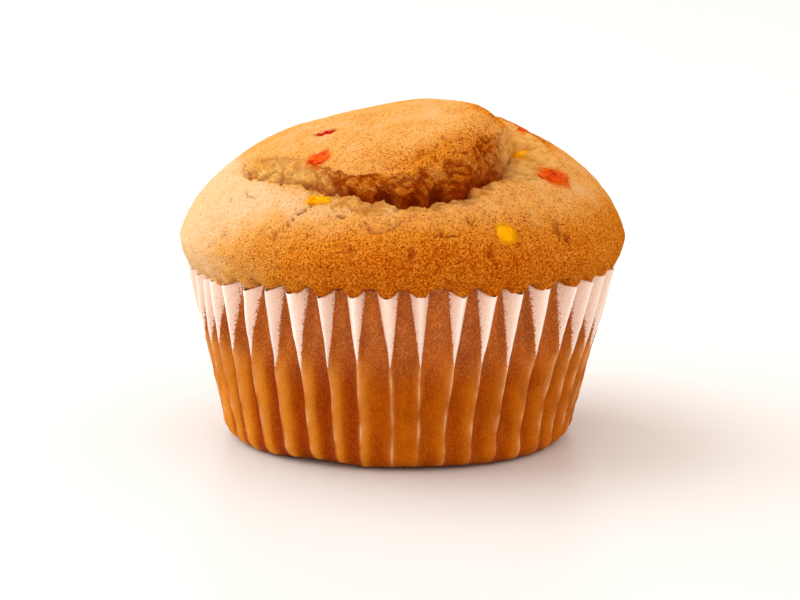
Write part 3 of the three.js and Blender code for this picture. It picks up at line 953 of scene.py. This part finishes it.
def cake_material(cake):
    """Crust, and crumb where the top is torn, with the juice of the fruit, painted light on the left flank,
    and painted shade in the creases, the hollows and the depth of the crack.
    """
    material, tree, shader = new_material("golden_crust", 0.75, 0.0)
    grain = grain_node(tree, GRAIN_SCALE, 260.0)
    specks, sparks, patches = (grain.outputs[name] for name in ("Specks", "Sparks", "Patches"))
    labels = ("torn", "crevice_shade", "cavity_shade", "bake_and_light", "toast", "juice", "hue")
    torn, crevice_shade, cavity_shade, bake_and_light, toast, juice, hue = (mask(tree, label) for label in labels)
    # crust: paler where the bake mask is low, which on the left flank is painted light, with dark and bright
    # grains, and painted shade in its creases
    uneven = scaled(tree, patches, 0.0, 1.0, -0.07, 0.07)
    baked = combined(tree, "ADD", bake_and_light, uneven)
    baked = scaled(tree, baked, 0.0, 1.0, 0.0, 1.0)
    shades = (cake.crust_pale_lit, cake.crust_light, cake.crust_brown, cake.crust_dark)
    crust = ramp(tree, baked, tuple(zip((0.0, 0.28, 0.6, 1.0), shades)))
    speck_part = weighted(tree, specks, baked, 0.0, 0.5, 0.7, 0.95)
    darkened = scaled(tree, baked, 0.0, 0.6, 0.05, 1.0)
    speck_colour = blend_colour(tree, darkened, cake.crust_brown, cake.crust_speck)
    crust = blend_colour(tree, speck_part, crust, speck_colour)
    spark_part = weighted(tree, sparks, baked, 0.0, 0.8, 0.7, 0.75)
    spark_colour = blend_colour(tree, baked, cake.crust_spark, cake.crust_ember)
    crust = blend_colour(tree, spark_part, crust, spark_colour)
    crust_cavity_shade = scaled(tree, cavity_shade, 0.1, 0.9, 0.0, 0.75)
    crust = blend_colour(tree, crust_cavity_shade, crust, cake.crease_dark_and_shade)
    # crumb: pale and open, or toasted where it stood up in the oven
    crumb = blend_colour(tree, patches, cake.crumb_light, cake.crumb_dark)
    crumb = blend_colour(tree, toast, crumb, cake.toasted)
    crumb_specks = weighted(tree, specks, toast, 0.0, 1.0, 0.22, 0.9)
    crumb = blend_colour(tree, crumb_specks, crumb, cake.crust_dark)
    crumb_sparks = weighted(tree, sparks, toast, 0.0, 1.0, 0.4, 0.55)
    crumb = blend_colour(tree, crumb_sparks, crumb, cake.crust_spark)
    # painted shade in the crumb's clefts, stronger where it is toasted
    sunk = scaled(tree, toast, 0.0, 1.0, 0.35, 1.0)
    crumb_cavity_shade = scaled(tree, cavity_shade, 0.1, 0.8, 0.0, 0.9)
    crumb_cavity_shade = combined(tree, "MULTIPLY", crumb_cavity_shade, sunk)
    crumb = blend_colour(tree, crumb_cavity_shade, crumb, cake.crease_dark_and_shade)
    colour = blend_colour(tree, torn, crust, crumb)
    # cake that the fruit's juice has coloured, and painted shade deep in the crack
    juices = (cake.juice_red, cake.juice_orange, cake.juice_yellow)
    flesh = ramp(tree, hue, tuple(zip((0.0, 0.5, 1.0), juices)))
    mottled = scaled(tree, specks, 0.0, 1.0, 1.0, 0.75)
    stained = combined(tree, "MULTIPLY", juice, mottled)
    colour = blend_colour(tree, stained, colour, flesh)
    deep = weighted(tree, crevice_shade, toast, 0.0, 0.5, 0.12, 0.95)
    colour = blend_colour(tree, deep, colour, cake.crevice_shade)
    link(tree, colour, shader.inputs["Base Color"])
    roughness = scaled(tree, sparks, 0.0, 1.0, 0.8, 0.6)
    link(tree, roughness, shader.inputs["Roughness"])
    bump(tree, shader, grain.outputs["Height"], 1.0, 0.0003)
    lay_out(tree)
    return material


def paper_material(case):
    """Greasy paper, with paler folds and dry wedges, painted light and shade across each pleat, and a painted
    highlight along the dry wedges' ridges.
    """
    material, tree, shader = new_material("greaseproof_paper", 0.5, 0.015)
    grain = grain_node(tree, GRAIN_SCALE, 180.0)
    specks, sparks, patches = (grain.outputs[name] for name in ("Specks", "Sparks", "Patches"))
    labels = ("dry", "lit", "fold", "pleat_shade", "stain", "high")
    dry, lit, fold, pleat_shade, stain, high = (mask(tree, label) for label in labels)
    # the dry wedges end in a crisp but ragged line
    ragged = scaled(tree, specks, 0.0, 1.0, 0.05, -0.09)
    dry = combined(tree, "ADD", dry, ragged)
    dry = scaled(tree, dry, -0.03, 0.05, 0.0, 1.0)
    wet = combined(tree, "ADD", stain, patches)
    wet = combined(tree, "MULTIPLY", wet, 0.5)
    greasy = blend_colour(tree, wet, case.greasy_light, case.greasy_dark)
    # painted shade and painted light across each pleat
    painted_shade_side = scaled(tree, pleat_shade, 0.5, 1.0, 0.0, 0.9)
    greasy = blend_colour(tree, painted_shade_side, greasy, case.greasy_shade_and_specks)
    painted_light_side = scaled(tree, pleat_shade, 0.5, 0.0, 0.0, 0.85)
    greasy = blend_colour(tree, painted_light_side, greasy, case.greasy_bright)
    grains = weighted(tree, specks, high, 0.0, 1.0, 0.18, 0.6)
    greasy = blend_colour(tree, grains, greasy, case.greasy_shade_and_specks)
    glints = combined(tree, "MULTIPLY", sparks, 0.15)
    greasy = blend_colour(tree, glints, greasy, case.greasy_bright)
    drier = scaled(tree, sparks, 0.0, 1.0, 0.12, 0.45)
    fibres = combined(tree, "MULTIPLY", drier, high)
    greasy = blend_colour(tree, fibres, greasy, case.greasy_fibre)
    pale = combined(tree, "MULTIPLY", fold, 0.9)
    greasy = blend_colour(tree, pale, greasy, case.fold_colour)
    dry_fibres = combined(tree, "MULTIPLY", specks, 0.5)
    dry_paper = blend_colour(tree, dry_fibres, case.dry_colour, case.dry_shade)
    # painted highlight along the dry wedges' ridges
    dry_paper = blend_colour(tree, lit, dry_paper, case.dry_highlight)
    colour = blend_colour(tree, dry, greasy, dry_paper)
    link(tree, colour, shader.inputs["Base Color"])
    roughness = scaled(tree, dry, 0.0, 1.0, 0.42, 0.75)
    link(tree, roughness, shader.inputs["Roughness"])
    bump(tree, shader, grain.outputs["Height"], 0.3, 0.00005)
    lay_out(tree)
    return material


def fruit_material(name, colour, dark):
    """Soft flesh with a slight sheen."""
    material, tree, shader = new_material(name, 0.45, 0.01)
    grain = grain_node(tree, 3000.0, 700.0)
    flesh = blend_colour(tree, grain.outputs["Patches"], colour, dark)
    link(tree, flesh, shader.inputs["Base Color"])
    roughness = scaled(tree, grain.outputs["Specks"], 0.0, 1.0, 0.3, 0.55)
    link(tree, roughness, shader.inputs["Roughness"])
    bump(tree, shader, grain.outputs["Height"], 0.4, 0.0001)
    lay_out(tree)
    return material


def floor_material(stage):
    """A plain pale table."""
    material, tree, shader = new_material("white_table", 0.4, 0.15)
    grain = grain_node(tree, 300.0, 6.0)
    dark = [channel * 0.985 for channel in stage.floor_colour]
    colour = blend_colour(tree, grain.outputs["Patches"], stage.floor_colour, dark)
    link(tree, colour, shader.inputs["Base Color"])
    roughness = scaled(tree, grain.outputs["Patches"], 0.0, 1.0, 0.35, 0.4)
    link(tree, roughness, shader.inputs["Roughness"])
    lay_out(tree)
    return material


# ---------------------------------------------------------------- settings


def length(name, description, default):
    return FloatProperty(
        name=name, description=description, default=default, unit="LENGTH", subtype="DISTANCE"
    )


def colour(name, description, default):
    return FloatVectorProperty(
        name=name, description=description, default=default, size=3, min=0.0, max=1.0, subtype="COLOR"
    )


class MuffinCaseSettings(bpy.types.PropertyGroup):
    base_radius: length("Base radius", "Radius of the flat base", 0.025)
    foot_radius: length("Foot radius", "Radius of the panels just above the heel", 0.0273)
    panel_radius: length("Panel radius", "Radius of the panels at the rim", 0.031)
    rim_height: length("Rim height", "Height of the rim at the ridges", 0.0285)
    paper: length("Paper", "Thickness of the paper", 0.00012)
    seed: IntProperty(name="Seed", description="Picks how the pleats differ", default=4, min=0)
    dry_colour: colour("Dry paper", "Where the paper stands off the cake", (0.97, 0.77, 0.65))
    # painted highlight along the dry wedges' ridges
    dry_highlight: colour("Dry paper, edges", "Along the dry paper's folded edges", (1.0, 0.93, 0.87))
    dry_shade: colour("Dry paper, fibres", "Between the dry paper's fibres", (0.86, 0.46, 0.30))
    fold_colour: colour("Fold", "Along the folds of the greasy paper", (1.0, 0.52, 0.20))
    greasy_bright: colour("Greasy paper, bright", "Flanks that face the light", (0.88, 0.33, 0.03))
    greasy_fibre: colour("Greasy paper, fibres", "Drier fibres near the rim", (0.72, 0.33, 0.14))
    greasy_light: colour("Greasy paper, light", "Where fat has soaked in", (0.56, 0.132, 0.001))
    greasy_dark: colour("Greasy paper, dark", "Where more fat has soaked in", (0.31, 0.05, 0.0))
    # dark specks, and the painted shade across each pleat
    greasy_shade_and_specks: colour("Greasy paper, deep", "Where the paper is darkest", (0.25, 0.022, 0.0))


class MuffinCakeSettings(bpy.types.PropertyGroup):
    dome_radius: length("Dome radius", "Radius of the top at its widest", 0.0354)
    dome_foot: length("Dome foot", "Height where the top is widest", 0.0333)
    dome_top: length("Dome top", "Height of the top's middle", 0.0533)
    dome_curve: FloatProperty(name="Dome curve", description="0.5 is an ellipse, 1 a cone", default=0.73)
    # at the bottom of the bake ramp: mostly painted light on the left flank
    crust_pale_lit: colour("Crust, pale", "Barely baked crust", (0.99, 0.72, 0.44))
    crust_light: colour("Crust, light", "Lightly baked crust", (1.0, 0.48, 0.135))
    crust_brown: colour("Crust, brown", "Golden-brown crust", (0.89, 0.275, 0.016))
    crust_dark: colour("Crust, dark", "Well baked crust", (0.68, 0.125, 0.001))
    crust_speck: colour("Crust, specks", "The crust's dark grains", (0.31, 0.032, 0.001))
    crust_spark: colour("Crust, sparks", "The crust's pale grains", (1.0, 0.53, 0.09))
    crust_ember: colour("Crust, embers", "The pale grains where the crust is well baked", (1.0, 0.40, 0.03))
    # painted shade in creases and hollows, along with the crust's own darker colour there
    crease_dark_and_shade: colour("Crease", "In the crust's creases and the crumb's hollows", (0.34, 0.035, 0.001))
    crumb_light: colour("Crumb, light", "Open crumb", (1.0, 0.60, 0.18))
    crumb_dark: colour("Crumb, dark", "Open crumb in patches", (1.0, 0.45, 0.085))
    toasted: colour("Crumb, toasted", "Crumb that browned in the oven", (0.62, 0.145, 0.003))
    juice_red: colour("Juice, red", "Cake beside the red fruit", (0.45, 0.006, 0.001))
    juice_orange: colour("Juice, orange", "Cake beside the orange fruit", (0.80, 0.12, 0.001))
    juice_yellow: colour("Juice, yellow", "Cake beside the yellow fruit", (0.94, 0.42, 0.002))
    # painted shade deep in the crack
    crevice_shade: colour("Crevice", "Deep in the crack", (0.46, 0.045, 0.001))


class MuffinFruitSettings(bpy.types.PropertyGroup):
    red: colour("Red fruit", "Red flesh", (0.62, 0.002, 0.001))
    red_dark: colour("Red fruit, dark", "Red flesh in patches", (0.36, 0.001, 0.001))
    orange: colour("Orange fruit", "Orange flesh", (0.80, 0.12, 0.001))
    orange_dark: colour("Orange fruit, dark", "Orange flesh in patches", (0.42, 0.008, 0.001))
    yellow: colour("Yellow fruit", "Yellow flesh", (0.92, 0.42, 0.001))
    yellow_dark: colour("Yellow fruit, dark", "Yellow flesh in patches", (0.84, 0.27, 0.001))


class MuffinStageSettings(bpy.types.PropertyGroup):
    floor_colour: colour("Floor", "The pale table", (0.715, 0.71, 0.70))
    camera_distance: length("Camera distance", "From the camera to the muffin", 0.48)
    camera_lens: FloatProperty(name="Lens", description="Focal length in millimetres", default=134.8)
    camera_rise: FloatProperty(
        name="Camera rise", description="Angle above the table", default=math.radians(12.0), subtype="ANGLE"
    )
    aim_height: length("Aim height", "Height of the point the camera looks at", 0.0212)
    aim_side: length("Aim side", "Sideways place of that point", 0.00035)
    softbox_size: length("Softbox size", "Side of the square softbox", 1.1)
    softbox_power: FloatProperty(name="Softbox power", description="In watts", default=8.8, unit="POWER")
    softbox_tint: colour("Softbox tint", "Colour of the softbox's light", (0.86, 0.97, 1.0))
    studio_tint: colour("Studio tint", "Colour of the light from all round", (1.0, 0.895, 0.825))
    studio_strength: FloatProperty(name="Studio strength", description="Light from all round", default=1.24)


# ---------------------------------------------------------------- operators


SOFTBOX_PLACE = Vector((-0.66, 0.24, 0.66))
MUFFIN_MIDDLE = Vector((0.0, 0.0, 0.03))
TABLE_HALF = 3.0  # half of the table's side, in metres


class MUFFIN_OT_paper_case(bpy.types.Operator):
    """Build the pleated paper case"""

    bl_idname = "muffin.paper_case"
    bl_label = "Paper case"

    def execute(self, context):
        build_paper(context.scene.muffin_case, context.scene.muffin_cake)
        return {"FINISHED"}


class MUFFIN_OT_cake(bpy.types.Operator):
    """Build the cake with its crust, crown and torn crack"""

    bl_idname = "muffin.cake"
    bl_label = "Cake"

    def execute(self, context):
        build_cake(context.scene.muffin_cake, context.scene.muffin_case)
        return {"FINISHED"}


class MUFFIN_OT_fruit(bpy.types.Operator):
    """Build the bits of candied fruit"""

    bl_idname = "muffin.fruit"
    bl_label = "Candied fruit"

    def execute(self, context):
        fruit = context.scene.muffin_fruit
        materials = {
            "red_fruit": fruit_material("red_candied_fruit", fruit.red, fruit.red_dark),
            "orange_fruit": fruit_material("orange_candied_fruit", fruit.orange, fruit.orange_dark),
            "yellow_fruit": fruit_material("yellow_candied_fruit", fruit.yellow, fruit.yellow_dark),
        }
        crust = BVHTree.FromObject(bpy.data.objects["baked_cake"], context.evaluated_depsgraph_get())
        for node, slot in FRUIT.items():
            build_fruit(node, materials[slot], crust)
        return {"FINISHED"}


class MUFFIN_OT_stage(bpy.types.Operator):
    """Lay the pale floor, and set the soft lights and the camera"""

    bl_idname = "muffin.stage"
    bl_label = "Stage"

    def execute(self, context):
        stage = context.scene.muffin_stage
        bm = bmesh.new()
        bmesh.ops.create_grid(bm, x_segments=8, y_segments=8, size=TABLE_HALF)
        floor = finish_piece("pale_table", bm, floor_material(stage))
        soft_light("left_softbox", SOFTBOX_PLACE, stage)
        world = bpy.data.worlds.new("bright_studio")
        world.use_nodes = True
        background = world.node_tree.nodes["Background"]
        background.inputs["Color"].default_value = (*stage.studio_tint, 1.0)
        background.inputs["Strength"].default_value = stage.studio_strength
        context.scene.world = world
        camera_data = bpy.data.cameras.new("camera")
        camera_data.lens = stage.camera_lens
        camera_data.sensor_width = 36.0
        camera_data.clip_start = 0.01
        camera = bpy.data.objects.new("camera", camera_data)
        context.scene.collection.objects.link(camera)
        aim = Vector((stage.aim_side, 0.0, stage.aim_height))
        back = Vector((0.0, -math.cos(stage.camera_rise), math.sin(stage.camera_rise)))
        camera.location = aim + back * stage.camera_distance
        camera.rotation_euler = (-back).to_track_quat("-Z", "Y").to_euler()
        context.scene.camera = camera
        context.scene.view_settings.view_transform = "Standard"
        return {"FINISHED"}


def soft_light(name, place, stage):
    """A square softbox that faces the muffin."""
    data = bpy.data.lights.new(name, "AREA")
    data.size = stage.softbox_size
    data.energy = stage.softbox_power
    data.color = stage.softbox_tint
    lamp = bpy.data.objects.new(name, data)
    bpy.context.scene.collection.objects.link(lamp)
    lamp.location = place
    lamp.rotation_euler = (MUFFIN_MIDDLE - place).to_track_quat("-Z", "Y").to_euler()


OPERATORS = (MUFFIN_OT_paper_case, MUFFIN_OT_cake, MUFFIN_OT_fruit, MUFFIN_OT_stage)


class MUFFIN_PT_build(bpy.types.Panel):
    """The muffin's building steps"""

    bl_idname = "MUFFIN_PT_build"
    bl_label = "Muffin"
    bl_space_type = "VIEW_3D"
    bl_region_type = "UI"
    bl_category = "Muffin"

    def draw(self, context):
        for operator in OPERATORS:
            self.layout.operator(operator.bl_idname)


SETTINGS = {
    "muffin_case": MuffinCaseSettings,
    "muffin_cake": MuffinCakeSettings,
    "muffin_fruit": MuffinFruitSettings,
    "muffin_stage": MuffinStageSettings,
}


def register():
    for group in SETTINGS.values():
        bpy.utils.register_class(group)
    for name, group in SETTINGS.items():
        setattr(bpy.types.Scene, name, PointerProperty(type=group))
    for operator in OPERATORS:
        bpy.utils.register_class(operator)
    bpy.utils.register_class(MUFFIN_PT_build)


def unregister():
    bpy.utils.unregister_class(MUFFIN_PT_build)
    for operator in reversed(OPERATORS):
        bpy.utils.unregister_class(operator)
    for name, group in SETTINGS.items():
        delattr(bpy.types.Scene, name)
        bpy.utils.unregister_class(group)


def main():
    register()
    bpy.ops.muffin.paper_case()
    bpy.ops.muffin.cake()
    bpy.ops.muffin.fruit()
    bpy.ops.muffin.stage()


if __name__ == "__main__":
    main()
